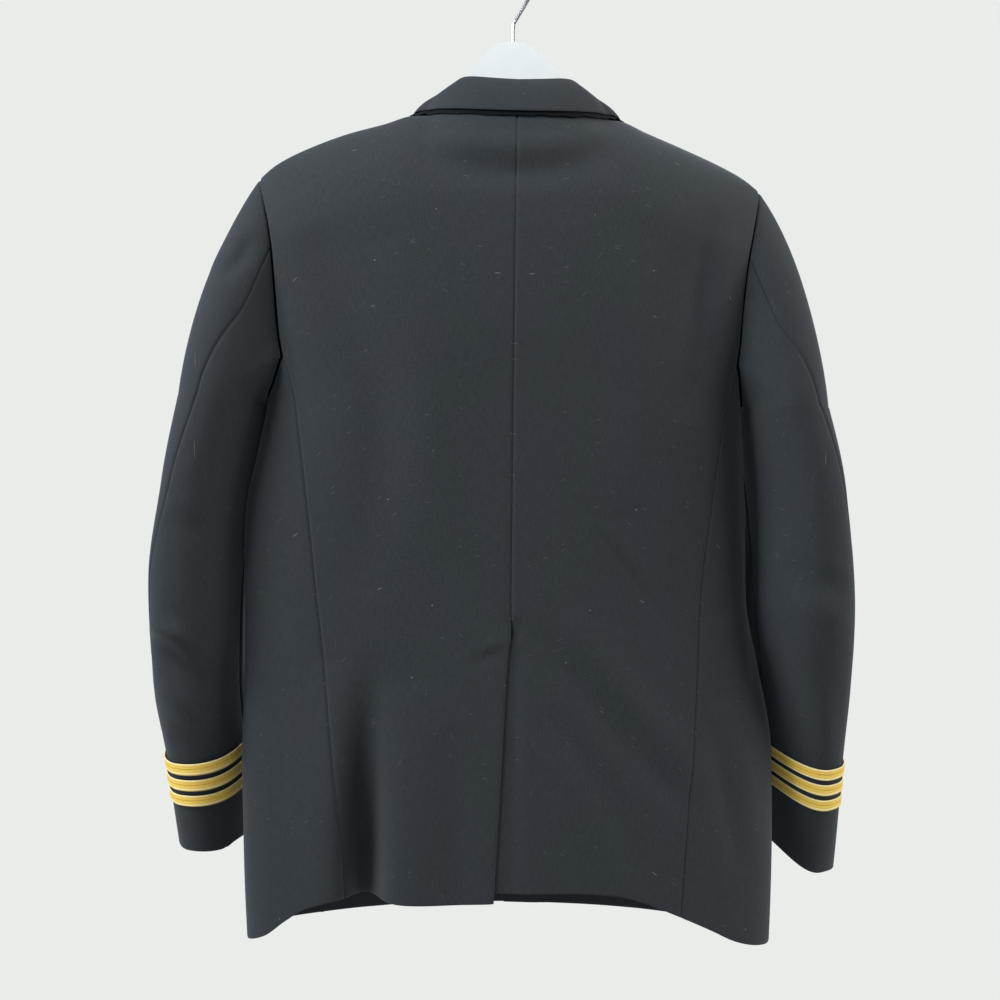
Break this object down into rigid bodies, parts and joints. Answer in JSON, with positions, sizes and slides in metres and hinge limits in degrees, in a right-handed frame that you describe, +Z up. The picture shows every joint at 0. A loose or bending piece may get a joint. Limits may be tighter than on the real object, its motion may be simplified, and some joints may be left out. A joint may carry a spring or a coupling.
{
  "type": "pilot uniform jacket on a clothes hanger",
  "caption": "Dark pilot's uniform jacket hung on a plain plastic hanger: notch lapels, centre back vent, two-piece sleeves with gold braid round the cuffs.",
  "frame": {"origin": "underside of the hook's top, where the hanger hangs on a rail", "axes": "+Z up, +Y towards the jacket's front, +X towards the wearer's right"},
  "size_m": [0.6892, 0.1997, 0.9902],
  "materials": {
    "worsted": "matt black-navy worsted, finely woven",
    "undercollar_felt": "black melton felt",
    "gold_braid": "ribbed gold lace braid with a soft metallic sheen",
    "gilt_button": "plain domed gilt, satin",
    "hanger_plastic": "pale moulded plastic",
    "hook_wire": "bright chromed wire"
  },
  "bodies": {
    "root": {"back_left": "worsted", "back_right": "worsted", "braid_left_1": "gold_braid", "braid_left_2": "gold_braid", "braid_left_3": "gold_braid", "braid_right_1": "gold_braid", "braid_right_2": "gold_braid", "braid_right_3": "gold_braid", "button_1": "gilt_button", "button_2": "gilt_button", "button_3": "gilt_button", "collar_fall": "worsted", "collar_stand": "worsted", "front_left": "worsted", "front_right": "worsted", "hanger": "hanger_plastic", "hook": "hook_wire", "lapel_left": "worsted", "lapel_right": "worsted", "side_left": "worsted", "side_right": "worsted", "topsleeve_left": "worsted", "topsleeve_right": "worsted", "undercollar": "undercollar_felt", "undersleeve_left": "worsted", "undersleeve_right": "worsted"}
  },
  "joints": []
}
